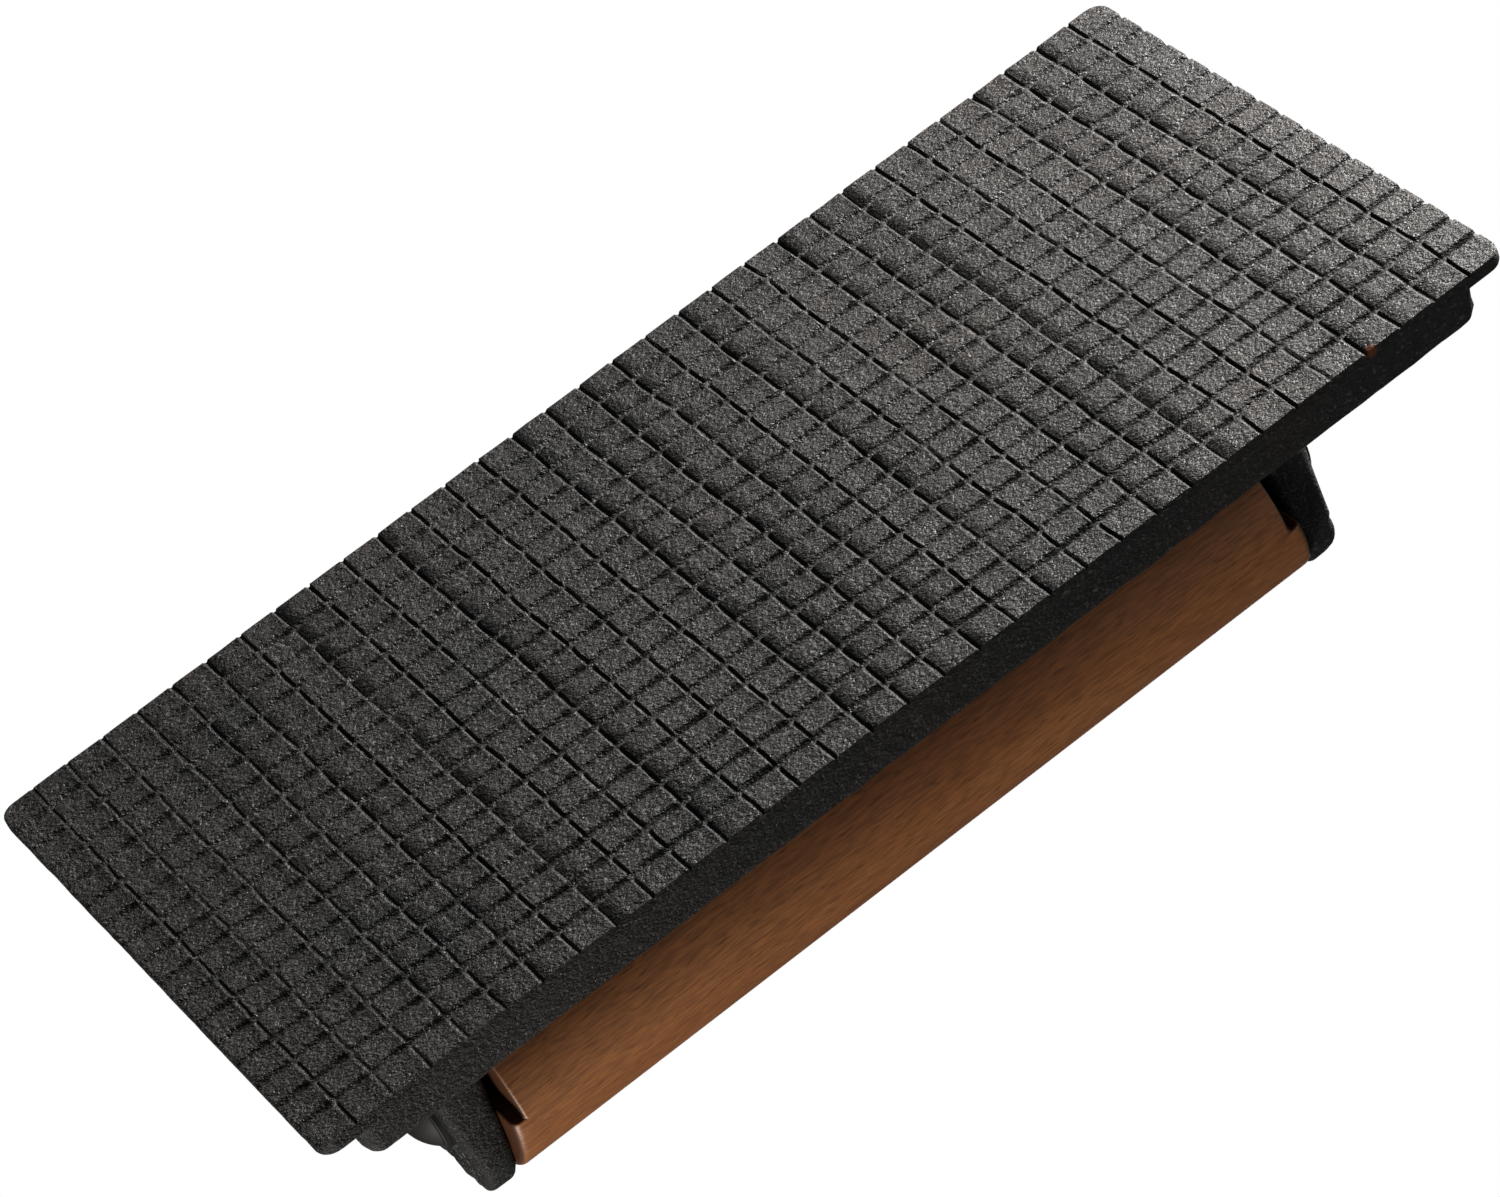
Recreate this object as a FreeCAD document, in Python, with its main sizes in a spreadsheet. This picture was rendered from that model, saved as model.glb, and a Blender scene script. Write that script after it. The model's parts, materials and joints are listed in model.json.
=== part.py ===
import FreeCAD, Part
import math
import os
import Sketcher

# Cast-iron grill press, in millimetres. X runs along the plate, Y across it and Z up from the cooking face,
# which lies on the hot surface, to the wooden handle. The origin is the middle of the cooking face.

doc = FreeCAD.newDocument("grill_press")

SIZES = {
    # plate: a thin lip round the cooking face, and a deeper body inside it, hollowed at the back
    "plate_length": 225.2,
    "plate_width": 111,
    "plate_height": 10.2,
    "plate_corner": 3,
    "lip_height": 3,
    "lip_edge": 0.8,
    "end_inset": 5.9,
    "side_inset": 1.1,
    "body_draft": 6,
    "recess_depth": 3,
    "rim_width": 7,
    "rim_edge": 1.3,
    # cooking face: pads left between two sets of grooves
    "cross_pitch": 6.83,
    "cross_count": 32,
    "cross_width": 1.5,
    "cross_depth": 1.2,
    "long_pitch": 6.49,
    "long_count": 16,
    "long_width": 2,
    "long_depth": 1,
    "groove_bottom": 0.5,
    # lugs: two drafted posts of the same casting, with round tops
    "lug_top": 73.4,
    "lug_width": 25,
    "lug_waist_height": 46,
    "lug_waist_inner": 79.3,
    "lug_waist_outer": 88.2,
    "lug_inner_slope": 0.1,
    "lug_outer_slope": 0.045,
    "lug_root": 4,
    "lug_edge": 1.5,
    "cut_margin": 2,
    # handle: a round bar whose ends are stepped on the side that faces the plate
    "handle_radius": 17.1,
    "handle_height": 54.2,
    "handle_shoulder": 77.7,
    "handle_edge": 2,
    # screws and washers
    "seat_radius": 8.6,
    "seat_plane": 87.6,
    "washer_radius": 8,
    "washer_thick": 1.3,
    "washer_edge": 0.3,
    "head_radius": 7,
    "head_height": 3.5,
    "shank_radius": 2.7,
    "shank_length": 36,
    "point_length": 6,
    "slot_width": 1.3,
    "slot_depth": 1.6,
    "bore_gap": 0.3,
}

sheet = doc.addObject("Spreadsheet::Sheet", "Sizes")
for row, (alias, value) in enumerate(SIZES.items(), start=1):
    sheet.set("A%d" % row, alias)
    sheet.set("B%d" % row, str(value))
    sheet.setAlias("B%d" % row, alias)
doc.recompute()


def size(expression):
    """The number that an expression of the sheet's aliases gives."""
    return float(doc.Sizes.evalExpression(expression))


def bound(expression):
    """The same expression as another object has to write it, with the sheet's name before each alias."""
    words = []
    for word in expression.split():
        bare = word.strip("()")
        words.append(word.replace(bare, "Sizes." + bare) if bare in SIZES else word)
    return " ".join(words)


def new_body(label):
    body = doc.addObject("PartDesign::Body", label)
    body.Label = label
    return body


def origin(body, role):
    """The plane or axis of a body's own origin, such as XY_Plane or X_Axis."""
    return next(item for item in body.Origin.OriginFeatures if item.Role == role)


def new_sketch(body, name, role, offset="0"):
    """A sketch on a plane of the body's origin, moved along the plane's normal by an expression."""
    sketch = body.newObject("Sketcher::SketchObject", name)
    sketch.AttachmentSupport = [(origin(body, role), "")]
    sketch.MapMode = "FlatFace"
    sketch.setExpression("AttachmentOffset.Base.z", bound(offset))
    return sketch


def pin(sketch, edge, end, across, up):
    """Fixes one end of an edge at two expressions, measured from the sketch's origin."""
    for kind, expression, axis in (("DistanceX", across, -2), ("DistanceY", up, -1)):
        value = size(expression)
        if abs(value) < 1e-9:
            sketch.addConstraint(Sketcher.Constraint("PointOnObject", edge, end, axis))
            continue
        index = sketch.addConstraint(Sketcher.Constraint(kind, -1, 1, edge, end, value))
        sketch.setExpression("Constraints[%d]" % index, bound(expression))


def draw_path(sketch, corners, closed=True):
    """Straight edges through corners given as pairs of expressions, each corner fixed by its pair. Gives the
    number of the last edge."""
    points = [FreeCAD.Vector(size(across), size(up), 0) for across, up in corners]
    ends = points[1:] + points[:1] if closed else points[1:]
    first = sketch.GeometryCount
    for start, end in zip(points, ends):
        sketch.addGeometry(Part.LineSegment(start, end))
    last = sketch.GeometryCount - 1
    for edge in range(first, last + 1):
        pin(sketch, edge, 1, *corners[edge - first])
        if edge > first:
            sketch.addConstraint(Sketcher.Constraint("Coincident", edge - 1, 2, edge, 1))
    if closed:
        sketch.addConstraint(Sketcher.Constraint("Coincident", last, 2, first, 1))
    else:
        pin(sketch, last, 2, *corners[-1])
    return last


def draw_rectangle(sketch, half_length, half_width):
    """A rectangle about the sketch's origin."""
    left, low = "-1 * (%s)" % half_length, "-1 * (%s)" % half_width
    draw_path(sketch, [(left, low), (half_length, low), (half_length, half_width), (left, half_width)])


def draw_circle(sketch, radius, across, up):
    centre = FreeCAD.Vector(size(across), size(up), 0)
    circle = sketch.addGeometry(Part.Circle(centre, FreeCAD.Vector(0, 0, 1), size(radius)))
    pin(sketch, circle, 3, across, up)
    index = sketch.addConstraint(Sketcher.Constraint("Radius", circle, size(radius)))
    sketch.setExpression("Constraints[%d]" % index, bound(radius))


def pad(body, sketch, name, length, midplane=False):
    feature = body.newObject("PartDesign::Pad", name)
    feature.Profile = sketch
    feature.Midplane = midplane
    feature.setExpression("Length", bound(length))
    doc.recompute()
    return feature


def pocket(body, sketch, name, length, midplane=False, reverse=False):
    feature = body.newObject("PartDesign::Pocket", name)
    feature.Profile = sketch
    feature.Midplane = midplane
    feature.Reversed = reverse
    feature.setExpression("Length", bound(length))
    doc.recompute()
    return feature


def fillet(body, base, name, radius, chosen):
    """Rounds the edges of the base feature for which chosen(edge's bounding box) is true."""
    names = ["Edge%d" % (i + 1) for i, edge in enumerate(base.Shape.Edges) if chosen(edge.BoundBox)]
    feature = body.newObject("PartDesign::Fillet", name)
    feature.Base = (base, names)
    feature.setExpression("Radius", bound(radius))
    doc.recompute()
    return feature


def near(value, expression):
    return abs(value - size(expression)) < 1e-3


def upright(box):
    """True for an edge that rises straight or nearly straight up."""
    return box.ZLength > 1 and box.XLength < 1 and box.YLength < 1


def level(box, height):
    """True for an edge that lies flat at the height that an expression gives."""
    return near(box.ZMin, height) and near(box.ZMax, height)


def groove(body, name, plane, half_width, depth, pitch, count, run, axis):
    """A row of grooves in the cooking face: one drafted channel, repeated at its pitch along an axis."""
    first = "-1 * (%s - 1) * %s / 2" % (count, pitch)
    bottom = "groove_bottom / 2"
    sketch = new_sketch(body, name + "_profile", plane)
    draw_path(
        sketch,
        [
            ("%s - %s" % (first, half_width), "0"),
            ("%s + %s" % (first, half_width), "0"),
            ("%s + %s" % (first, bottom), depth),
            ("%s - %s" % (first, bottom), depth),
        ],
    )
    cut = pocket(body, sketch, name + "_first", run, midplane=True)
    row = body.newObject("PartDesign::LinearPattern", name + "_row")
    row.Originals = [cut]
    row.Direction = (origin(body, axis), [""])
    row.setExpression("Length", bound("(%s - 1) * %s" % (count, pitch)))
    row.setExpression("Occurrences", bound(count))
    row.Refine = False
    body.Tip = row
    doc.recompute()
    return row


def draw_lug_tip(sketch):
    """What is cut from both lugs to round their tops: a frame over a half circle as wide as a lug."""
    radius = "lug_width / 2"
    centre = "lug_top - lug_width / 2"
    clear = "lug_top + cut_margin"
    wide = "lug_width / 2 + cut_margin"
    frame = [
        (radius, centre),
        (wide, centre),
        (wide, clear),
        ("-1 * (%s)" % wide, clear),
        ("-1 * (%s)" % wide, centre),
        ("-1 * (%s)" % radius, centre),
    ]
    last = draw_path(sketch, frame, closed=False)
    middle = FreeCAD.Vector(0, size(centre), 0)
    circle = Part.Circle(middle, FreeCAD.Vector(0, 0, 1), size(radius))
    arc = sketch.addGeometry(Part.ArcOfCircle(circle, 0, math.pi))
    sketch.addConstraint(Sketcher.Constraint("Coincident", arc, 1, 0, 1))
    sketch.addConstraint(Sketcher.Constraint("Coincident", arc, 2, last, 2))
    index = sketch.addConstraint(Sketcher.Constraint("DistanceY", -1, 1, arc, 3, size(centre)))
    sketch.setExpression("Constraints[%d]" % index, bound(centre))


def make_press_plate():
    """The casting: lip, body with a shallow recess in its back, two lugs, and the grooved cooking face."""
    body = new_body("press_plate")

    lip_sketch = new_sketch(body, "lip_outline", "XY_Plane")
    draw_rectangle(lip_sketch, "plate_length / 2", "plate_width / 2")
    lip = pad(body, lip_sketch, "lip", "lip_height")

    wall_sketch = new_sketch(body, "wall_outline", "XY_Plane", "lip_height")
    draw_rectangle(wall_sketch, "plate_length / 2 - end_inset", "plate_width / 2 - side_inset")
    wall = pad(body, wall_sketch, "wall", "plate_height - lip_height")
    wall.setExpression("TaperAngle", bound("-1 * body_draft"))

    recess_sketch = new_sketch(body, "recess_outline", "XY_Plane", "plate_height")
    inset = "end_inset + rim_width"
    draw_rectangle(
        recess_sketch,
        "plate_length / 2 - (%s)" % inset,
        "plate_width / 2 - (side_inset + rim_width)",
    )
    recess = pocket(body, recess_sketch, "recess", "recess_depth")
    recess.setExpression("TaperAngle", bound("-1 * body_draft"))
    doc.recompute()

    def at_back_rim(box):
        return level(box, "plate_height") or level(box, "plate_height - recess_depth")

    corners = fillet(body, recess, "plate_corners", "plate_corner", upright)
    edges = fillet(body, corners, "rim_edges", "rim_edge", at_back_rim)
    fillet(body, edges, "lip_edges", "lip_edge", lambda box: level(box, "0"))

    floor = "(plate_height - recess_depth)"
    inner_root = "lug_waist_inner - lug_inner_slope * (lug_waist_height - %s)" % floor
    outer_root = "lug_waist_outer + lug_outer_slope * (lug_waist_height - %s)" % floor
    inner_tip = "lug_waist_inner + lug_inner_slope * (lug_top - lug_waist_height)"
    outer_tip = "lug_waist_outer - lug_outer_slope * (lug_top - lug_waist_height)"
    lug_sketch = new_sketch(body, "lug_profiles", "XZ_Plane")
    for side in ("1", "-1"):
        draw_path(
            lug_sketch,
            [
                ("%s * (%s)" % (side, inner_root), floor),
                ("%s * (%s)" % (side, outer_root), floor),
                ("%s * (%s)" % (side, outer_tip), "lug_top"),
                ("%s * (%s)" % (side, inner_tip), "lug_top"),
            ],
        )
    pad(body, lug_sketch, "lugs", "lug_width", midplane=True)

    tip_sketch = new_sketch(body, "lug_tip_outline", "YZ_Plane")
    draw_lug_tip(tip_sketch)
    tips = pocket(body, tip_sketch, "lug_tips", "plate_length", midplane=True)

    def on_lug(box):
        return size(inner_root) - 1 < abs(box.Center.x) < size(outer_root) + 1

    def at_lug_rim(box):
        return on_lug(box) and box.XLength < size("lug_width") / 4 < box.ZLength

    def at_lug_root(box):
        return on_lug(box) and level(box, floor)

    rims = fillet(body, tips, "lug_rims", "lug_edge", at_lug_rim)
    fillet(body, rims, "lug_roots", "lug_root", at_lug_root)

    bore_sketch = new_sketch(body, "screw_bore_outline", "YZ_Plane")
    draw_circle(bore_sketch, "shank_radius + bore_gap", "0", "handle_height")
    pocket(body, bore_sketch, "screw_bores", "plate_length", midplane=True)
    for name, side, reverse in (("seat_right", "1", True), ("seat_left", "-1", False)):
        seat_sketch = new_sketch(body, name + "_outline", "YZ_Plane", "%s * seat_plane" % side)
        draw_circle(seat_sketch, "seat_radius", "0", "handle_height")
        pocket(body, seat_sketch, name, "end_inset", reverse=reverse)

    groove(body, "cross_groove", "XZ_Plane", "cross_width / 2", "cross_depth", "cross_pitch", "cross_count",
           "plate_width + plate_corner", "X_Axis")
    groove(body, "long_groove", "YZ_Plane", "long_width / 2", "long_depth", "long_pitch", "long_count",
           "plate_length + plate_corner", "Y_Axis")
    return body


def make_handle():
    """The round wooden bar. Each end is stepped below mid-height and meets the lug's slanting inner face."""
    body = new_body("handle")
    round_sketch = new_sketch(body, "handle_section", "YZ_Plane")
    draw_circle(round_sketch, "handle_radius", "0", "handle_height")
    pad(body, round_sketch, "handle_bar", "2 * lug_waist_outer", midplane=True)

    low = "handle_height - handle_radius - handle_edge"
    high = "handle_height + handle_radius + handle_edge"
    step_face = "lug_waist_inner + lug_inner_slope * (handle_height - lug_waist_height)"
    top_face = "lug_waist_inner + lug_inner_slope * (%s - lug_waist_height)" % high
    far = "lug_waist_outer + handle_edge"
    end_sketch = new_sketch(body, "handle_end_profiles", "XZ_Plane")
    for side in ("1", "-1"):
        draw_path(
            end_sketch,
            [
                ("%s * handle_shoulder" % side, low),
                ("%s * handle_shoulder" % side, "handle_height"),
                ("%s * (%s)" % (side, step_face), "handle_height"),
                ("%s * (%s)" % (side, top_face), high),
                ("%s * (%s)" % (side, far), high),
                ("%s * (%s)" % (side, far), low),
            ],
        )
    ends = pocket(body, end_sketch, "handle_ends", "4 * handle_radius", midplane=True)

    def at_tongue_rim(box):
        wide = box.YLength > size("handle_radius")
        return wide and box.ZLength > 1 and box.ZMin > size("handle_height") - 1

    fillet(body, ends, "handle_edges", "handle_edge", at_tongue_rim)

    bore_face = "seat_plane + washer_thick - shank_length"
    for name, side, reverse in (("pilot_right", "1", True), ("pilot_left", "-1", False)):
        pilot_sketch = new_sketch(body, name + "_outline", "YZ_Plane", "%s * (%s)" % (side, bore_face))
        draw_circle(pilot_sketch, "shank_radius", "0", "handle_height")
        pocket(body, pilot_sketch, name, "shank_length", reverse=reverse)
    return body


def lay_along_x(body, side, distance):
    """Turns a piece made along +Z to point away from the middle, at the screw's height."""
    body.Placement.Rotation = FreeCAD.Rotation(FreeCAD.Vector(0, 1, 0), 90 * side)
    body.setExpression("Placement.Base.x", bound("%d * (%s)" % (side, distance)))
    body.setExpression("Placement.Base.z", bound("handle_height"))


def make_screw(label, side):
    """A round-head wood screw with a slotted head, made along Z and laid along X through its lug."""
    body = new_body(label)
    profile = new_sketch(body, label + "_profile", "XZ_Plane")
    start = "-1 * (shank_length - point_length)"
    corners = [
        ("0", "head_height"),
        ("0", "-1 * shank_length"),
        ("shank_radius", start),
        ("shank_radius", "0"),
        ("head_radius", "0"),
    ]
    last = draw_path(profile, corners, closed=False)
    # the dome is an arc over the head, with its centre on the screw's axis
    rise, reach = size("head_height"), size("head_radius")
    dome_radius = (reach**2 + rise**2) / (2 * rise)
    middle = FreeCAD.Vector(0, rise - dome_radius, 0)
    circle = Part.Circle(middle, FreeCAD.Vector(0, 0, 1), dome_radius)
    dome = profile.addGeometry(Part.ArcOfCircle(circle, math.atan2(-middle.y, reach), math.pi / 2))
    profile.addConstraint(Sketcher.Constraint("Coincident", dome, 1, last, 2))
    profile.addConstraint(Sketcher.Constraint("Coincident", dome, 2, 0, 1))
    profile.addConstraint(Sketcher.Constraint("PointOnObject", dome, 3, -2))

    turned = body.newObject("PartDesign::Revolution", label + "_turned")
    turned.Profile = profile
    turned.ReferenceAxis = (profile, ["V_Axis"])
    turned.Angle = 360
    doc.recompute()

    slot_sketch = new_sketch(body, label + "_slot_outline", "XY_Plane", "head_height")
    draw_rectangle(slot_sketch, "head_radius + slot_width", "slot_width / 2")
    pocket(body, slot_sketch, label + "_slot", "slot_depth")
    lay_along_x(body, side, "seat_plane + washer_thick")
    return body


def make_washer(label, side):
    """A flat round washer between the screw's head and its seat on the lug."""
    body = new_body(label)
    ring_sketch = new_sketch(body, label + "_section", "XY_Plane")
    draw_circle(ring_sketch, "washer_radius", "0", "0")
    draw_circle(ring_sketch, "shank_radius + bore_gap", "0", "0")
    ring = pad(body, ring_sketch, label + "_ring", "washer_thick")
    fillet(body, ring, label + "_edges", "washer_edge", lambda box: box.XLength > 2 * size("head_radius"))
    lay_along_x(body, side, "seat_plane")
    return body


pieces = [
    make_press_plate(),
    make_handle(),
    make_screw("screw_left", -1),
    make_screw("screw_right", 1),
    make_washer("washer_left", -1),
    make_washer("washer_right", 1),
]
doc.recompute()

for item in doc.Objects:
    if "Invalid" in item.State or "Error" in item.State:
        raise RuntimeError("%s could not be built: %s" % (item.Label, item.State))
    if item.TypeId == "PartDesign::Pocket" and item.Shape.Volume > item.BaseFeature.Shape.Volume - 0.1:
        raise RuntimeError("%s cuts nothing" % item.Label)
for piece in pieces:
    if piece.Shape.isNull() or not piece.Shape.isValid() or len(piece.Shape.Solids) != 1:
        raise RuntimeError("%s is not one valid solid" % piece.Label)

os.makedirs("parts", exist_ok=True)
for piece in pieces:
    piece.Shape.exportStep("parts/%s.step" % piece.Label)
    print(piece.Label, "volume %.1f mm3" % piece.Shape.Volume)
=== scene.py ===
import bpy
import bmesh
import json
import math
import numpy as np
from mathutils import Matrix, Vector

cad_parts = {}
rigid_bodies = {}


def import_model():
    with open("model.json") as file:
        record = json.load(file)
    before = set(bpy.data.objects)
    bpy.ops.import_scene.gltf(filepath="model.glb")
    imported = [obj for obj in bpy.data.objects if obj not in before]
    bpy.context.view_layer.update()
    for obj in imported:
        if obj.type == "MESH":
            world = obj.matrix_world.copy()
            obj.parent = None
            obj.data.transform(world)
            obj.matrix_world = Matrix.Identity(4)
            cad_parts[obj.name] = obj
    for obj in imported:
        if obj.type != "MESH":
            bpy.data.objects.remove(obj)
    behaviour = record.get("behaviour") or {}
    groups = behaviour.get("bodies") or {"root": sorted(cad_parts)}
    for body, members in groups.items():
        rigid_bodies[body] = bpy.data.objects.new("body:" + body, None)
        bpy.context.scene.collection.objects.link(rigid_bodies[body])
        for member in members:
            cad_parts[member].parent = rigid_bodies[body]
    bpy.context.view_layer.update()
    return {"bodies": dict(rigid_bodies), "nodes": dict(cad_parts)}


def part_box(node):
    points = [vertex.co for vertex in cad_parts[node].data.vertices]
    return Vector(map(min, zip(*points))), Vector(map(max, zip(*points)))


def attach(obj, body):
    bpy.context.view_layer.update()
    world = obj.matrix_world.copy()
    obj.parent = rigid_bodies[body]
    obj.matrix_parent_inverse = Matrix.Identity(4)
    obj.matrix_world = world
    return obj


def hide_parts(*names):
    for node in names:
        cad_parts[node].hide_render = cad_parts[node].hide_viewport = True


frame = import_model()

BODY = next(iter(frame["bodies"]))
MM = 0.001

# ---------------------------------------------------------------------------------------------------------
# The casting: plate and lugs. One pour of grey iron in a sand mould, left as cast and seasoned dark, so that
# every face is grainy. The cooking face is below, at z = 0, cut into pads by two sets of cast grooves. The
# plate has a thin lip, a deeper body inside the lip, and a shallow recess in its back between a raised rim.


def ripple(x, y, length, seed, waves=14):
    """Smooth random height between about -1 and 1: a sum of plane waves of about one length. Directions and
    phases come from a seeded draw, and the sum is divided by the root of their number."""
    draw = np.random.default_rng(seed)
    angle = draw.uniform(0, 2 * np.pi, waves)
    phase = draw.uniform(0, 2 * np.pi, waves)
    step = 2 * np.pi / (length * draw.uniform(0.7, 1.5, waves))
    total = np.zeros(np.broadcast(x, y).shape)
    for a, p, k in zip(angle, phase, step):
        total += np.sin(k * (x * np.cos(a) + y * np.sin(a)) + p)
    return total * math.sqrt(2 / waves) / 1.6


def smooth_step(low, high, value):
    """0 below low, 1 above high, and a cubic between them."""
    t = np.clip((value - low) / (high - low), 0, 1)
    return t * t * (3 - 2 * t)


def rounded_plan(u, v, half_x, half_y, radius):
    """Carries the square of u and v from -1 to 1 to a rectangle with round corners. The straight parts keep
    their places, and in each corner the unit square (a, b) goes to a quarter disc as a * sqrt(1 - b * b / 2)
    and b * sqrt(1 - a * a / 2)."""
    x, y = np.abs(u) * half_x, np.abs(v) * half_y
    a = np.clip((x - (half_x - radius)) / radius, 0, 1)
    b = np.clip((y - (half_y - radius)) / radius, 0, 1)
    x = np.minimum(x, half_x - radius) + radius * a * np.sqrt(1 - b * b / 2)
    y = np.minimum(y, half_y - radius) + radius * b * np.sqrt(1 - a * a / 2)
    return np.sign(u) * x, np.sign(v) * y


def grid_faces(rows, columns, start=0, closed=False):
    """Four-cornered faces over a grid of points numbered row by row. A closed grid joins its last column to
    its first."""
    r, c = np.meshgrid(np.arange(rows - 1), np.arange(columns if closed else columns - 1), indexing="ij")
    n = (c + 1) % columns
    here, below = r * columns, (r + 1) * columns
    return np.stack([here + c, here + n, below + n, below + c], -1).reshape(-1, 4) + start


def add_mesh(name, points, faces, sharp_angle=None):
    """An object from arrays of points, in millimetres, and faces. Points that coincide are merged, faces are
    turned outwards, and the surface is shaded smooth, with creases only above the sharp angle."""
    mesh = bpy.data.meshes.new(name)
    mesh.from_pydata((np.asarray(points) * MM).tolist(), [], [face.tolist() for face in faces])
    work = bmesh.new()
    work.from_mesh(mesh)
    bmesh.ops.remove_doubles(work, verts=work.verts, dist=1e-7)
    bmesh.ops.dissolve_degenerate(work, edges=work.edges, dist=1e-7)
    bmesh.ops.recalc_face_normals(work, faces=work.faces)
    work.to_mesh(mesh)
    work.free()
    mesh.shade_smooth()
    if sharp_angle:
        mesh.set_sharp_from_angle(angle=math.radians(sharp_angle))
    piece = bpy.data.objects.new(name, mesh)
    bpy.context.scene.collection.objects.link(piece)
    return piece


HALF_X, HALF_Y, LUG_TOP = np.array(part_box("press_plate")[1]) / MM
PLATE_HEIGHT = 10.2
LIP_HEIGHT = 3.0
CORNER = 3.0
BODY_CORNER = 2.6
END_INSET, SIDE_INSET = 5.9, 1.1
DRAFT = math.tan(math.radians(6))
RIM_WIDTH = 7.0
RECESS_DEPTH = 3.0
RIM_EDGE = 1.3
LIP_EDGE = 0.65
RECESS_LEAN = 0.15
# the hollow where the lip meets the wall: how far out at the ends, how far out at the sides, rise, wander
LEDGE_HOLLOW = ((1.6, 0.15, 0.05, 0.05), (0.5, 0.08, 0.2, 0.05), (0.0, 0.0, 0.7, 0.06))

CROSS_PITCH, CROSS_COUNT = 6.83, 32
LONG_PITCH, LONG_COUNT = 6.49, 16
BURR_ROOM = 0.24  # how far the pads lie above z = 0, which leaves room for the burrs
FACE_INSET = 0.06
FACE_ROLL, FACE_ROLL_WIDTH = 0.06, 0.4
BURR_AT, BURR_WIDTH, BURR_HEIGHT = -0.50, 0.11, 0.22
TRENCH_DEPTH = 0.42
TRENCH_LEFT, TRENCH_RIGHT = (-0.34, -0.20), (0.06, 0.30)
TROUGH_DEPTH = 0.68
TROUGH_SIDE = (0.42, 0.94)
WORN_FROM, WORN_TO = 0.30, 0.95  # shares of half the length, towards the left end


def pitch_samples(pitch, count, half, offsets):
    """Where a row of grooves needs grid lines: at the same offsets about each groove, and near the ends."""
    middles = (np.arange(count) - (count - 1) / 2) * pitch
    lines = (middles[:, None] + np.array(offsets)[None, :]).ravel()
    ends = np.array([0.25, 0.6, 1.0, 1.6, 2.3, 3.1])
    closest = 0.12
    lines = np.concatenate([lines, half - ends, ends - half, [half, -half]])
    lines = np.unique(np.round(lines[np.abs(lines) <= half], 3))
    keep = np.concatenate([[True], np.diff(lines) > closest])
    keep[-1] = True
    return lines[keep]


def from_middle(position, pitch, count):
    """For places along a row of grooves: the distance to the nearest groove's middle, and its number."""
    last = (count - 1) / 2
    number = np.clip(np.round(position / pitch + last), 0, count - 1)
    return position - (number - last) * pitch, number


def cooking_face(x, y, edge):
    """How far the iron lies above z = 0 at each point. The pads are level but for a slow unevenness, each a
    few hundredths high or low. A cross groove is a narrow trench with a fine burr along its left side, and a
    long groove is a softer, wider trough that the burrs cross. The depths vary slowly. Near the left end,
    where the mould was worn, the grooves are shallower and the burrs higher. The edge rolls away."""
    dx, across = from_middle(x, CROSS_PITCH, CROSS_COUNT)
    dy, along = from_middle(y, LONG_PITCH, LONG_COUNT)
    worn = smooth_step(WORN_FROM * HALF_X, WORN_TO * HALF_X, -x)
    trench_depth = (1 - 0.6 * worn) * (TRENCH_DEPTH + 0.12 * ripple(x, y, 14, seed=5))
    trench = trench_depth * smooth_step(*TRENCH_LEFT, dx) * (1 - smooth_step(*TRENCH_RIGHT, dx))
    burr_height = (1 + 0.5 * worn) * (BURR_HEIGHT + 0.07 * ripple(x, y, 3, seed=6))
    ridge = np.exp(-(((dx - BURR_AT) / BURR_WIDTH) ** 2))
    trough_depth = (1 - 0.15 * worn) * (TROUGH_DEPTH + 0.10 * ripple(x, y, 11, seed=7))
    trough = trough_depth * (1 - smooth_step(*TROUGH_SIDE, np.abs(dy))) * (1 - 0.8 * ridge)
    cell = 0.035 * np.sin(across * 12.9 + along * 78.2) * np.sin(across * 4.1 - along * 9.7)
    rough = 0.05 * ripple(x, y, 9, seed=10)
    past_roll = np.clip(1 - edge / FACE_ROLL_WIDTH, 0, 1)
    roll = FACE_ROLL * (1 - np.sqrt(np.clip(1 - past_roll**2, 0, 1)))
    height = BURR_ROOM + cell + rough + np.maximum(trench, trough) - burr_height * ridge + roll
    return np.maximum(height, 0.0)


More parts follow.
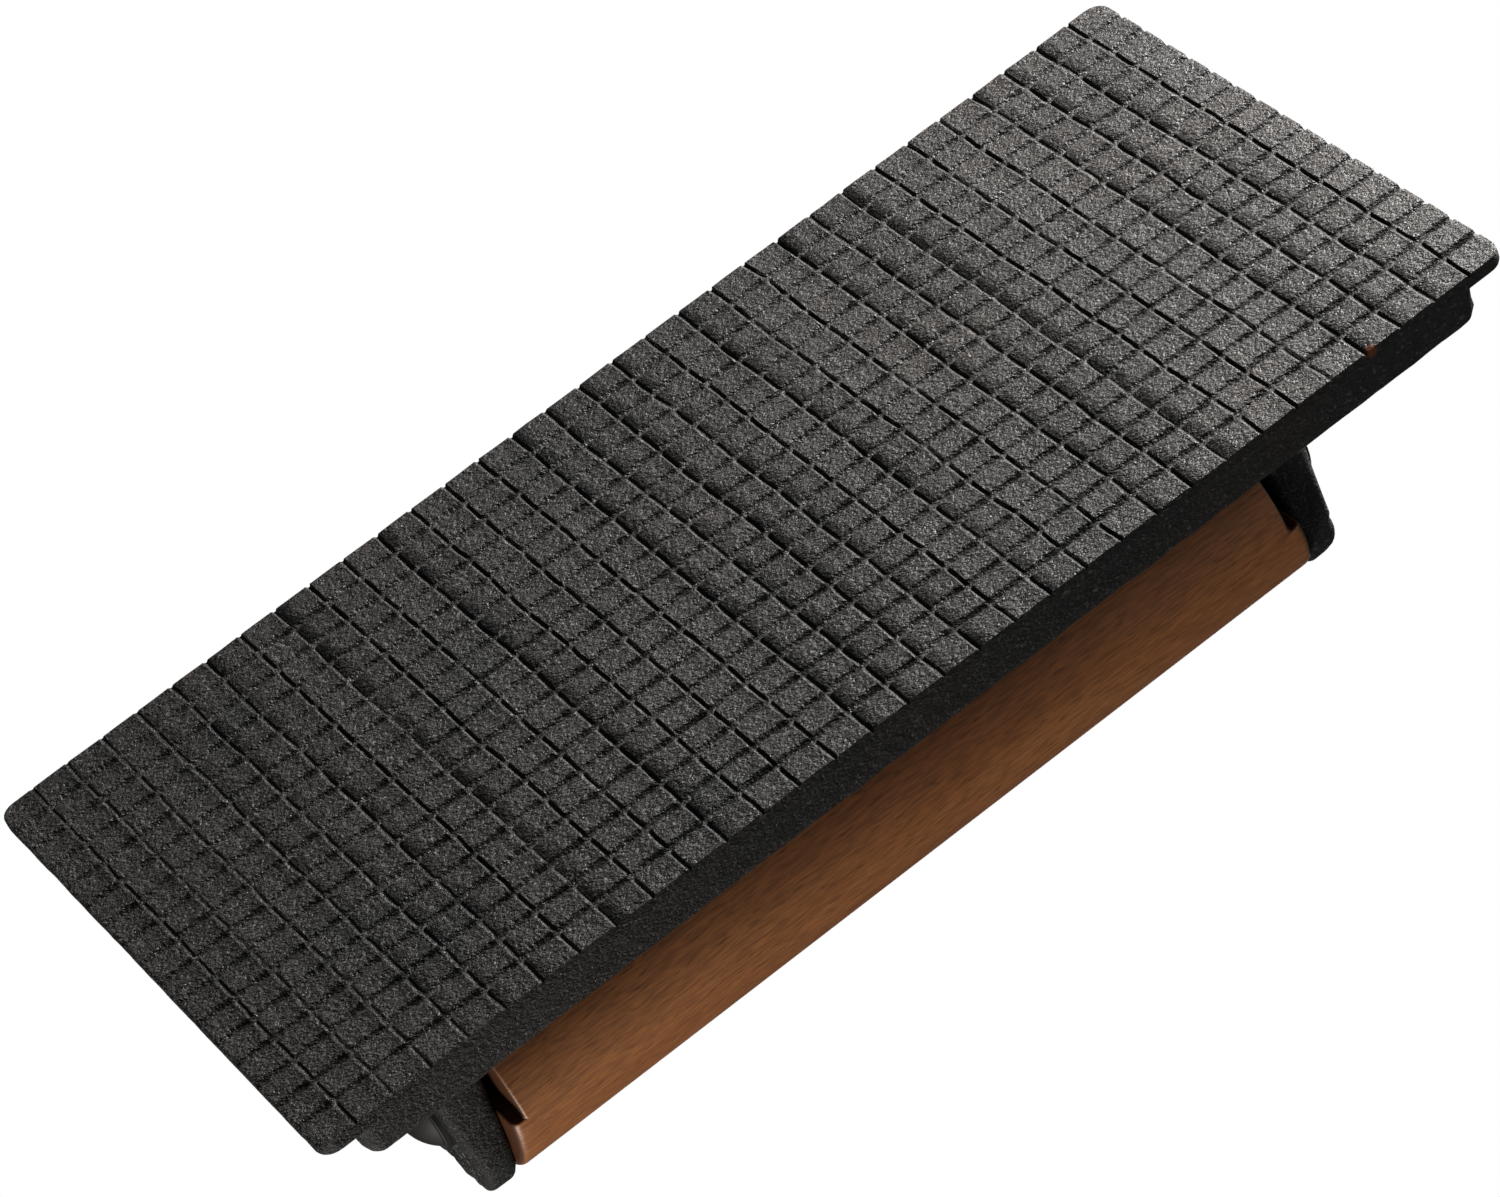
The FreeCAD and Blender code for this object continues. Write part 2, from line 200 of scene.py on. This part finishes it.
def make_plate():
    """The plate's skin: the cooking face as a height over a fitted grid, then rings carried round its edge
    over the lip, the wall and the rim, down into the recess and in to the middle of its floor."""
    burr_lines = [-0.80, -0.66, -0.57, BURR_AT, -0.43]
    cross_offsets = [*burr_lines, *TRENCH_LEFT, TRENCH_RIGHT[0], 0.18, TRENCH_RIGHT[1], 0.44, 3.0]
    trough_lines = [TROUGH_SIDE[0], 0.70, 0.96, 1.14]
    long_offsets = [-3.24, *(-line for line in trough_lines[::-1]), *trough_lines]
    x_lines = pitch_samples(CROSS_PITCH, CROSS_COUNT, HALF_X, cross_offsets)
    y_lines = pitch_samples(LONG_PITCH, LONG_COUNT, HALF_Y, long_offsets)
    plan_x, plan_y = np.meshgrid(x_lines, y_lines)
    u, v = plan_x / HALF_X, plan_y / HALF_Y
    edge = np.minimum(HALF_X - np.abs(plan_x), HALF_Y - np.abs(plan_y))
    face_z = cooking_face(plan_x, plan_y, edge)
    inside = smooth_step(0, 5, edge)
    wander_x = 0.14 * ripple(plan_x, plan_y, 21, seed=1) + 0.07 * ripple(plan_x, plan_y, 6, seed=2)
    wander_y = 0.16 * ripple(plan_x, plan_y, 23, seed=3) + 0.09 * ripple(plan_x, plan_y, 7, seed=4)
    face_x, face_y = rounded_plan(u, v, HALF_X - FACE_INSET, HALF_Y - FACE_INSET, CORNER)
    face_x, face_y = face_x + inside * wander_x, face_y + inside * wander_y
    rows, columns = u.shape
    face = np.stack([face_x, face_y, face_z], -1).reshape(-1, 3)
    number = np.arange(rows * columns).reshape(rows, columns)
    rim = np.concatenate([number[0, :-1], number[:-1, -1], number[-1, :0:-1], number[:0:-1, 0]])
    rim_u, rim_v = u.ravel()[rim], v.ravel()[rim]

    lean = (PLATE_HEIGHT - LIP_HEIGHT) * DRAFT
    quarter = (0, 30, 60, 90)
    ring = []  # inset at the ends, inset at the sides, corner radius, height, how much the ring wanders

    def add_ring(end_at, side_at, radius, z_at, wander):
        ring.append((end_at, side_at, radius, z_at, wander))

    def add_round(end_at, side_at, radius, z_at, size, wander):
        """Rings over a quarter round edge, from where its face is upright to where it is level."""
        for angle in np.radians(quarter):
            out = size * (1 - math.cos(angle))
            add_ring(end_at + out, side_at + out, radius, z_at + size * math.sin(angle), wander)

    add_ring(0.0, 0.0, CORNER, LIP_HEIGHT / 2, 0.03)
    add_round(0.02, 0.02, CORNER, LIP_HEIGHT - LIP_EDGE, LIP_EDGE, 0.05)
    for end_back, side_back, rise, wander in LEDGE_HOLLOW:
        add_ring(END_INSET - end_back, SIDE_INSET - side_back, BODY_CORNER, LIP_HEIGHT + rise, wander)
    for share in (0.3, 0.5, 0.7):
        z = LIP_HEIGHT + share * (PLATE_HEIGHT - LIP_HEIGHT)
        add_ring(END_INSET + share * lean, SIDE_INSET + share * lean, BODY_CORNER, z, 0.08)
    add_round(END_INSET + lean, SIDE_INSET + lean, BODY_CORNER, PLATE_HEIGHT - RIM_EDGE, RIM_EDGE, 0.10)
    inner_end, inner_side = END_INSET + RIM_WIDTH, SIDE_INSET + RIM_WIDTH
    for angle in np.radians(quarter[::-1]):
        out = RIM_EDGE * (math.cos(angle) - 1)
        drop = RIM_EDGE * (1 - math.sin(angle))
        add_ring(inner_end + out, inner_side + out, CORNER, PLATE_HEIGHT - drop, 0.08)
    for angle in np.radians(quarter):
        out = RIM_EDGE * (1 - math.cos(angle)) + RECESS_LEAN
        depth = RECESS_DEPTH - RIM_EDGE * (1 - math.sin(angle))
        add_ring(inner_end + out, inner_side + out, CORNER, PLATE_HEIGHT - depth, 0.08)

    loops = []
    for end_at, side_at, radius, z_at, wander in ring:
        x, y = rounded_plan(rim_u, rim_v, HALF_X - end_at, HALF_Y - side_at, radius)
        shift = wander * ripple(x + 31, y + 3 * z_at, 9, seed=21)
        shift = shift + 0.6 * wander * ripple(x, y + 5 * z_at, 3, seed=22)
        lift = 0.5 * wander * ripple(x, y, 7, seed=23 + len(loops) % 3) * (z_at > LIP_HEIGHT - 0.1)
        span = np.hypot(x / HALF_X, y / HALF_Y)
        x, y = x - shift * x / HALF_X / span, y - shift * y / HALF_Y / span
        x, y = np.clip(x, -HALF_X, HALF_X), np.clip(y, -HALF_Y, HALF_Y)
        z = np.minimum(np.full_like(x, z_at) + lift, PLATE_HEIGHT + 0.1)
        loops.append(np.stack([x, y, z], -1))
    floor_x, floor_y = loops[-1][:, 0], loops[-1][:, 1]
    for share in (0.94, 0.8, 0.5, 0.0):
        x, y = floor_x * share, floor_y * share
        z = PLATE_HEIGHT - RECESS_DEPTH + 0.05 * ripple(x, y, 12, seed=31)
        loops.append(np.stack([x, y, z], -1))

    points = np.concatenate([face] + loops)
    count = len(rim)
    after = np.arange(count)
    join = np.stack([rim, rim[(after + 1) % count], len(face) + (after + 1) % count, len(face) + after], -1)
    skirt = grid_faces(len(loops), count, len(face), closed=True)
    faces = np.concatenate([grid_faces(rows, columns), join, skirt])
    return add_mesh("cast_plate", points, faces, sharp_angle=62)


LUG_WIDTH = 25.0
SCREW_HEIGHT = 54.2
WAIST_HEIGHT, WAIST_INNER, WAIST_OUTER = 46.0, 79.3, 88.2
INNER_SLOPE, OUTER_SLOPE = 0.1, 0.045
LUG_ROOT, LUG_EDGE = 4.0, 1.6
LUG_SUNK = 1.0  # how far a lug's mesh goes down into the plate
FACE_INSETS = (2.6, 4.2, 6.2, 8.4, 10.4)  # the loops on a lug's faces, from the outline inwards
SEAT_FLAT, SEAT_FADE = 8.9, 10.3  # the cast roughness keeps away from the washer's seat


def make_lug(name, side):
    """One lug. Loops of its arched outline shrink from the rim to the middle line on both faces, the rim
    between them is rounded, each face slants with the draft, and the root flares into the plate's back."""
    floor = PLATE_HEIGHT - RECESS_DEPTH
    low = floor - LUG_SUNK
    half = LUG_WIDTH / 2
    centre = LUG_TOP - half
    root_steps = [0, 0.001, 0.004, 0.009, 0.018, 0.03, 0.05, 0.075, 0.11]
    side_steps = [0.2, 0.35, 0.5, 0.65, 0.8, 0.9]
    up = floor + (centre - floor) * np.array(root_steps + side_steps)
    turn = np.radians(np.linspace(0, 180, 33))

    def outline(inset):
        reach = half - inset
        heights = np.concatenate([[low], up])
        right = np.stack([np.full_like(heights, reach), heights], -1)
        top = np.stack([reach * np.cos(turn), centre + reach * np.sin(turn)], -1)
        left = np.stack([np.full_like(heights, -reach), heights], -1)[::-1]
        base = np.stack([np.linspace(-reach, reach, 12)[1:-1], np.full(10, low)], -1)
        return np.concatenate([right, top, left, base])

    angles = np.radians([0, 20, 40, 60, 80, 90])
    face_steps = [(LUG_EDGE * (1 - math.cos(a)), LUG_EDGE * (1 - math.sin(a)), a) for a in angles]
    face_steps += [(inset, 0.0, math.pi / 2) for inset in (*FACE_INSETS, half - 1e-6)]
    loops = []
    for face in (-1, 1):
        order = face_steps if face == 1 else face_steps[::-1]
        for inset, back, a in order:
            yz = outline(inset)
            y, z = yz[:, 0], yz[:, 1]
            inner = WAIST_INNER + INNER_SLOPE * (z - WAIST_HEIGHT)
            outer = WAIST_OUTER - OUTER_SLOPE * (z - WAIST_HEIGHT)
            gap = np.clip(LUG_ROOT - (z - floor), 0, LUG_ROOT)
            flare = LUG_ROOT - np.sqrt(np.clip(LUG_ROOT**2 - gap**2, 0, None))
            reach = flare * math.sin(a)
            x = inner + back - reach if face == -1 else outer - back + reach
            y = y + np.sign(y) * flare * math.cos(a)
            rough = 0.16 * ripple(y + 7 * side, z, 5, seed=41)
            rough = rough + 0.09 * ripple(y, z + 11 * side, 2.2, seed=42 + face)
            from_screw = np.hypot(y, z - SCREW_HEIGHT)
            calm = smooth_step(SEAT_FLAT, SEAT_FADE, from_screw) if face == 1 else 1.0
            x = x + face * rough * calm * (z > floor)
            y = y + np.sign(y) * 0.22 * ripple(z, x, 6, seed=44 + side) * smooth_step(6, 12, np.abs(y))
            z = z + 0.12 * ripple(y, x, 5, seed=46) * smooth_step(centre, LUG_TOP, z)
            loops.append(np.stack([side * x, y, np.minimum(z, LUG_TOP)], -1))
    count = len(loops[0])
    points = np.concatenate(loops)
    return add_mesh(name, points, grid_faces(len(loops), count, closed=True), sharp_angle=70)


IRON_BLACK, IRON_WARM = (0.0145, 0.0145, 0.0145, 1), (0.022, 0.0192, 0.018, 1)
GLINT_SPECK_GREY, RUST_BROWN = (0.065, 0.065, 0.062, 1), (0.16, 0.045, 0.010, 1)
RUST_PLACE, RUST_INNER, RUST_OUTER = (0.0862, 0.0553, 0.0008), 0.0005, 0.0012
WHITE, BLACK = (1, 1, 1, 1), (0, 0, 0, 1)


def grey(value):
    """A neutral colour."""
    return (value, value, value, 1)


def new_material(name):
    """A material with its shader and the place that its patterns read."""
    material = bpy.data.materials.new(name)
    material.use_nodes = True
    nodes = material.node_tree.nodes
    return material, nodes["Principled BSDF"], nodes.new("ShaderNodeTexCoord")


def join_up(tree, value, socket):
    """Leads another node's result into a socket, or sets a plain value on it."""
    if isinstance(value, bpy.types.NodeSocket):
        tree.links.new(value, socket)
    else:
        socket.default_value = value


def noise(tree, place, scale, detail, rough=0.5, stretch=(1, 1, 1), distortion=0.0):
    """A cloud of about 1 / scale metres, drawn out along an axis where its stretch is below 1."""
    mapping = tree.nodes.new("ShaderNodeMapping")
    mapping.inputs["Scale"].default_value = stretch
    tree.links.new(place.outputs["Object"], mapping.inputs["Vector"])
    texture = tree.nodes.new("ShaderNodeTexNoise")
    texture.inputs["Scale"].default_value = scale
    texture.inputs["Detail"].default_value = detail
    texture.inputs["Roughness"].default_value = rough
    texture.inputs["Distortion"].default_value = distortion
    tree.links.new(mapping.outputs["Vector"], texture.inputs["Vector"])
    return texture.outputs["Fac"]


def ramp(tree, factor, low, low_colour, high, high_colour):
    """One colour up to low, another from high on, and an even change between them."""
    node = tree.nodes.new("ShaderNodeValToRGB")
    first, last = node.color_ramp.elements
    first.position, first.color = low, low_colour
    last.position, last.color = high, high_colour
    tree.links.new(factor, node.inputs["Fac"])
    return node.outputs["Color"]


def mix(tree, factor, first, second, kind="MIX"):
    """Two colours mixed, or multiplied, by a factor."""
    node = tree.nodes.new("ShaderNodeMix")
    node.data_type = "RGBA"
    node.blend_type = kind
    for socket, value in (("Factor", factor), ("A", first), ("B", second)):
        fitting = (i for i in node.inputs if i.name == socket and i.type in ("RGBA", "VALUE") and i.enabled)
        join_up(tree, value, next(fitting))
    return next(o for o in node.outputs if o.type == "RGBA" and o.enabled)


def map_range(tree, value, source, target):
    """Carries the source range to the target range, and keeps what is past its ends at them."""
    node = tree.nodes.new("ShaderNodeMapRange")
    node.inputs["From Min"].default_value, node.inputs["From Max"].default_value = source
    node.inputs["To Min"].default_value, node.inputs["To Max"].default_value = target
    tree.links.new(value, node.inputs["Value"])
    return node.outputs["Result"]


def bump(tree, height, distance, strength=1.0, under=None):
    """Relief of the given height in metres, over another relief if there is one."""
    node = tree.nodes.new("ShaderNodeBump")
    node.inputs["Strength"].default_value = strength
    node.inputs["Distance"].default_value = distance
    tree.links.new(height, node.inputs["Height"])
    if under is not None:
        tree.links.new(under, node.inputs["Normal"])
    return node.outputs["Normal"]


def cast_iron(name):
    """Seasoned sand-cast iron: a near-black grey, patchy towards a warmer grey, with a sandy grain of two
    sizes that makes the relief and shifts the gloss, a few lighter spots painted into the colour as glints
    of the grain, and one rusty spot at the edge."""
    material, shader, place = new_material(name)
    tree = material.node_tree
    shader.inputs["Specular IOR Level"].default_value = 0.3

    grain = noise(tree, place, 2300, 2, 0.6, (0.6, 1, 1))
    coarse = noise(tree, place, 620, 3, 0.6)
    patches = ramp(tree, noise(tree, place, 32, 3), 0.35, IRON_BLACK, 0.68, IRON_WARM)
    grain_tone = ramp(tree, grain, 0.36, grey(0.60), 0.64, grey(1.45))
    tone = mix(tree, 0.85, patches, grain_tone, "MULTIPLY")
    # lighter grey spots in the base colour: painted glints of the sandy grain
    specks = ramp(tree, noise(tree, place, 1250, 1), 0.63, BLACK, 0.71, WHITE)
    glinted_tone = mix(tree, specks, tone, GLINT_SPECK_GREY)

    nearness = tree.nodes.new("ShaderNodeVectorMath")
    nearness.operation = "DISTANCE"
    tree.links.new(place.outputs["Object"], nearness.inputs[0])
    nearness.inputs[1].default_value = RUST_PLACE
    rusty = map_range(tree, nearness.outputs["Value"], (RUST_INNER, RUST_OUTER), (1, 0))
    tree.links.new(mix(tree, rusty, glinted_tone, RUST_BROWN), shader.inputs["Base Color"])
    gloss = ramp(tree, coarse, 0.35, grey(0.42), 0.65, grey(0.70))
    tree.links.new(gloss, shader.inputs["Roughness"])
    sandy = bump(tree, grain, 0.00055)
    tree.links.new(bump(tree, coarse, 0.00022, under=sandy), shader.inputs["Normal"])
    return material


IRON = cast_iron("seasoned_cast_iron")
cast_plate = make_plate()
lug_left = make_lug("lug_left", -1)
lug_right = make_lug("lug_right", 1)
for piece in (cast_plate, lug_left, lug_right):
    piece.data.materials.append(IRON)
    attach(piece, BODY)
    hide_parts("press_plate")

# ---------------------------------------------------------------------------------------------------------
# The handle: one turned hardwood stick, stained mid brown and varnished satin. Each end is sawn to a step on
# the side that faces the plate, and what is left beyond the step bears on the lug's slanting inner face.

HANDLE_RADIUS, HANDLE_TOP = np.array(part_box("handle")[1])[1:] / MM
HANDLE_AXIS = HANDLE_TOP - HANDLE_RADIUS
SHOULDER = 77.7
TONGUE_EDGE, TONGUE_GAP = 1.3, 0.12
SAWN_ANGLE = 30
SAWN_EDGE = 0.6
NEAR_SHOULDER = 0.2


def make_handle():
    """A cylinder grid between the two shoulders, its upper half carried on to the slanting ends, and flat
    caps for the shoulders, the steps and the ends. A bevel then eases every sawn edge."""
    around, along = 128, 48
    angle = np.linspace(0, 2 * np.pi, around, endpoint=False)
    y, rise = HANDLE_RADIUS * np.cos(angle), HANDLE_RADIUS * np.sin(angle)
    x = np.linspace(-SHOULDER, SHOULDER, along)
    bar = np.stack([np.repeat(x, around), np.tile(y, along), np.tile(HANDLE_AXIS + rise, along)], -1)
    upper = np.arange(around // 2 + 1)
    turn = np.radians(np.linspace(0, 90, 6))
    points = [bar]
    faces = list(grid_faces(along, around, closed=True))
    lower = np.concatenate([np.arange(around // 2, around), [0]])
    count = len(bar)
    for side, ring in ((-1, 0), (1, (along - 1) * around)):
        numbers = [ring + upper]
        for a in turn:
            radius = HANDLE_RADIUS - TONGUE_EDGE * (1 - math.cos(a))
            height = HANDLE_AXIS + radius * np.sin(angle[upper])
            reach = WAIST_INNER - TONGUE_GAP + INNER_SLOPE * (height - WAIST_HEIGHT)
            reach = reach - TONGUE_EDGE * (1 - math.sin(a))
            points.append(np.stack([side * reach, radius * np.cos(angle[upper]), height], -1))
            numbers.append(count + upper)
            count += len(upper)
        for first, second in zip(numbers, numbers[1:]):
            faces += list(np.stack([first[:-1], first[1:], second[1:], second[:-1]], -1))
        faces.append(ring + lower)
        faces.append(numbers[-1])
        faces.append(np.array([row[0] for row in numbers] + [row[-1] for row in numbers[::-1]]))
    points = np.concatenate(points)
    piece = add_mesh("wooden_handle", points, faces)
    piece.data.set_sharp_from_angle(angle=math.radians(SAWN_ANGLE))
    bevel = piece.modifiers.new("eased_edges", "BEVEL")
    bevel.width = SAWN_EDGE * MM
    bevel.segments = 4
    bevel.limit_method = "ANGLE"
    bevel.angle_limit = math.radians(SAWN_ANGLE)
    bevel.harden_normals = True
    return piece


WOOD_DARK, WOOD_LIGHT = (0.235, 0.080, 0.022, 1), (0.335, 0.132, 0.044, 1)
STREAK_DARK, PORE_DARK, SAWN_STAIN_AND_SHADE = (0.62, 0.57, 0.52, 1), (0.26, 0.22, 0.18, 1), (0.30, 0.26, 0.23, 1)


def calculate(tree, operation, first, second):
    """One step of arithmetic between two nodes' results or values."""
    node = tree.nodes.new("ShaderNodeMath")
    node.operation = operation
    for socket, value in zip(node.inputs, (first, second)):
        join_up(tree, value, socket)
    return node.outputs["Value"]


def split(tree, vector):
    """A vector's three components, under the names X, Y and Z."""
    node = tree.nodes.new("ShaderNodeSeparateXYZ")
    tree.links.new(vector, node.inputs["Vector"])
    return node.outputs


def stained_wood(name):
    """Turned hardwood: streaks drawn out along the stick, broad bands of darker and lighter brown, short
    dark pores, and a satin varnish. The sawn faces, the end grain and the steps past the shoulders, are
    darker in the colour: partly the extra stain that end grain drinks, partly painted shade for those faces
    inside the notches, under the plate and beside the lugs."""
    material, shader, place = new_material(name)
    tree = material.node_tree
    shader.inputs["Specular IOR Level"].default_value = 0.45
    shader.inputs["Coat Weight"].default_value = 0.25
    shader.inputs["Coat Roughness"].default_value = 0.42

    bands = noise(tree, place, 75, 3, stretch=(0.12, 1, 1), distortion=0.6)
    streaks = noise(tree, place, 2300, 3, stretch=(0.11, 1, 1))
    pores = noise(tree, place, 2000, 1, stretch=(0.16, 1, 1))
    base = ramp(tree, bands, 0.30, WOOD_DARK, 0.70, WOOD_LIGHT)
    streaked = mix(tree, 0.8, base, ramp(tree, streaks, 0.34, STREAK_DARK, 0.66, grey(1.24)), "MULTIPLY")
    grown = mix(tree, 0.45, streaked, ramp(tree, pores, 0.30, PORE_DARK, 0.38, WHITE), "MULTIPLY")

    # the sawn faces are darkened: partly real end-grain stain, partly painted shade inside the notches
    facing, where = split(tree, place.outputs["Normal"]), split(tree, place.outputs["Object"])
    end_grain = calculate(tree, "ABSOLUTE", facing["X"], 0)
    from_middle_line = calculate(tree, "ABSOLUTE", where["X"], 0)
    past_shoulder = calculate(tree, "GREATER_THAN", from_middle_line, (SHOULDER - NEAR_SHOULDER) * MM)
    step = calculate(tree, "MULTIPLY", past_shoulder, calculate(tree, "MULTIPLY", facing["Z"], -1))
    sawn = ramp(tree, calculate(tree, "MAXIMUM", end_grain, step), 0.5, WHITE, 0.8, SAWN_STAIN_AND_SHADE)
    tree.links.new(mix(tree, 1.0, grown, sawn, "MULTIPLY"), shader.inputs["Base Color"])
    tree.links.new(ramp(tree, streaks, 0.3, grey(0.56), 0.7, grey(0.42)), shader.inputs["Roughness"])
    tree.links.new(bump(tree, streaks, 0.00008, 0.5), shader.inputs["Normal"])
    return material


handle = make_handle()
handle.data.materials.append(stained_wood("stained_wood"))
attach(handle, BODY)
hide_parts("handle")

# ---------------------------------------------------------------------------------------------------------
# The fastenings: at each lug a round-head steel wood screw, turned and slotted, on a flat washer against the
# lug's outer face. Both are plated and have gone dark with use. They keep their machined shapes.

STEEL_DARK, STEEL_GREY = (0.010, 0.010, 0.011, 1), (0.026, 0.025, 0.024, 1)


def dark_steel(name):
    """Plated steel gone dull: a dark metal, with a faint cloudy change of tone, gloss and relief."""
    material, shader, place = new_material(name)
    tree = material.node_tree
    shader.inputs["Metallic"].default_value = 0.3
    shader.inputs["Specular IOR Level"].default_value = 0.3
    cloud = noise(tree, place, 260, 4)
    tree.links.new(ramp(tree, cloud, 0, STEEL_DARK, 1, STEEL_GREY), shader.inputs["Base Color"])
    tree.links.new(map_range(tree, cloud, (0, 1), (0.48, 0.66)), shader.inputs["Roughness"])
    tree.links.new(bump(tree, cloud, 0.00005, 0.2), shader.inputs["Normal"])
    return material


STEEL = dark_steel("dark_plated_steel")
for node in ("screw_left", "screw_right", "washer_left", "washer_right"):
    piece = frame["nodes"][node]
    piece.data.materials.clear()
    piece.data.materials.append(STEEL)

# ---------------------------------------------------------------------------------------------------------
# The studio: a pale floor under the press, seen only from above, a white surround, and soft lights. The
# camera looks up at the cooking face through a long lens, with the handle below the plate. The key light
# grazes that face, and is kept to the casting, so that it doesn't burn out the ends of the handle.


def look(azimuth, elevation, roll):
    """For a camera or lamp at an azimuth from -Y towards +X and an elevation, in degrees: its direction from
    the middle, and its turn when it faces the middle and is rolled about its line of sight."""
    a, e = math.radians(azimuth), math.radians(elevation)
    back = Vector((math.sin(a) * math.cos(e), -math.cos(a) * math.cos(e), math.sin(e)))
    level = back.to_track_quat("Z", "Y").to_matrix()
    return back, level @ Matrix.Rotation(math.radians(roll), 3, "Z")


def add_light(name, azimuth, elevation, distance, size, power, tint=(1, 1, 1)):
    """A square soft light that faces the middle of the press."""
    lamp = bpy.data.lights.new(name, "AREA")
    lamp.shape = "SQUARE"
    lamp.size = size
    lamp.energy = power
    lamp.color = tint
    light = bpy.data.objects.new(name, lamp)
    back, turn = look(azimuth, elevation, 0)
    light.matrix_world = Matrix.Translation(back * distance) @ turn.to_4x4()
    bpy.context.scene.collection.objects.link(light)
    return light


FLOOR_REACH = 3.0


def make_floor():
    """A level sheet under the press whose underside lets light and sight through."""
    mesh = bpy.data.meshes.new("floor")
    corners = [(x * FLOOR_REACH, y * FLOOR_REACH, 0) for x, y in ((-1, -1), (1, -1), (1, 1), (-1, 1))]
    mesh.from_pydata(corners, [], [(0, 1, 2, 3)])
    floor = bpy.data.objects.new("floor", mesh)
    bpy.context.scene.collection.objects.link(floor)
    material = bpy.data.materials.new("pale_floor")
    material.use_nodes = True
    nodes, links = material.node_tree.nodes, material.node_tree.links
    shader = nodes["Principled BSDF"]
    shader.inputs["Base Color"].default_value = (0.25, 0.25, 0.247, 1)
    shader.inputs["Roughness"].default_value = 0.8
    shader.inputs["Specular IOR Level"].default_value = 0.1
    shader.inputs["Emission Color"].default_value = (1, 1, 0.99, 1)
    shader.inputs["Emission Strength"].default_value = 0.56
    through = nodes.new("ShaderNodeBsdfTransparent")
    side = nodes.new("ShaderNodeNewGeometry")
    both = nodes.new("ShaderNodeMixShader")
    links.new(side.outputs["Backfacing"], both.inputs["Fac"])
    links.new(shader.outputs["BSDF"], both.inputs[1])
    links.new(through.outputs["BSDF"], both.inputs[2])
    links.new(both.outputs["Shader"], nodes["Material Output"].inputs["Surface"])
    mesh.materials.append(material)
    floor.visible_shadow = False
    floor.visible_diffuse = False
    floor.visible_glossy = False


def make_surround():
    """White to the camera, and a weaker even light on the press."""
    world = bpy.data.worlds.new("surround")
    world.use_nodes = True
    nodes, links = world.node_tree.nodes, world.node_tree.links
    seen = nodes["Background"]
    seen.inputs["Color"].default_value = (1, 1, 1, 1)
    fill = nodes.new("ShaderNodeBackground")
    fill.inputs["Color"].default_value = (1, 1, 1, 1)
    fill.inputs["Strength"].default_value = 0.05
    path = nodes.new("ShaderNodeLightPath")
    both = nodes.new("ShaderNodeMixShader")
    links.new(path.outputs["Is Camera Ray"], both.inputs["Fac"])
    links.new(fill.outputs["Background"], both.inputs[1])
    links.new(seen.outputs["Background"], both.inputs[2])
    links.new(both.outputs["Shader"], nodes["World Output"].inputs["Surface"])
    bpy.context.scene.world = world


make_floor()
make_surround()
key = add_light("key", 75, -22, distance=0.50, size=0.20, power=14, tint=(1, 0.975, 0.95))
casting = bpy.data.collections.new("lit_by_the_key")
for piece in (cast_plate, lug_left, lug_right):
    casting.objects.link(piece)
key.light_linking.receiver_collection = casting
add_light("left_fill", 238, 34, distance=0.36, size=0.15, power=0.80, tint=(1, 0.97, 0.92))
add_light("right_fill", 130, 8, distance=0.60, size=0.30, power=0.28)
add_light("back", 15, 30, distance=0.90, size=0.70, power=5.5)
bpy.context.scene.view_settings.view_transform = "Standard"

AIM = Vector((0.0007, -0.0117, 0.0215))
LENS, SENSOR = 146.96, 36.0
STANDS_AT = {"azimuth": 195.272, "elevation": -38.374, "roll": 152.648}
STANDS_OFF = 0.96746
camera_data = bpy.data.cameras.new("camera")
camera_data.lens = LENS
camera_data.sensor_width = SENSOR
camera = bpy.data.objects.new("camera", camera_data)
camera_back, camera_turn = look(**STANDS_AT)
camera.matrix_world = Matrix.Translation(AIM + camera_back * STANDS_OFF) @ camera_turn.to_4x4()
bpy.context.scene.collection.objects.link(camera)
bpy.context.scene.camera = camera
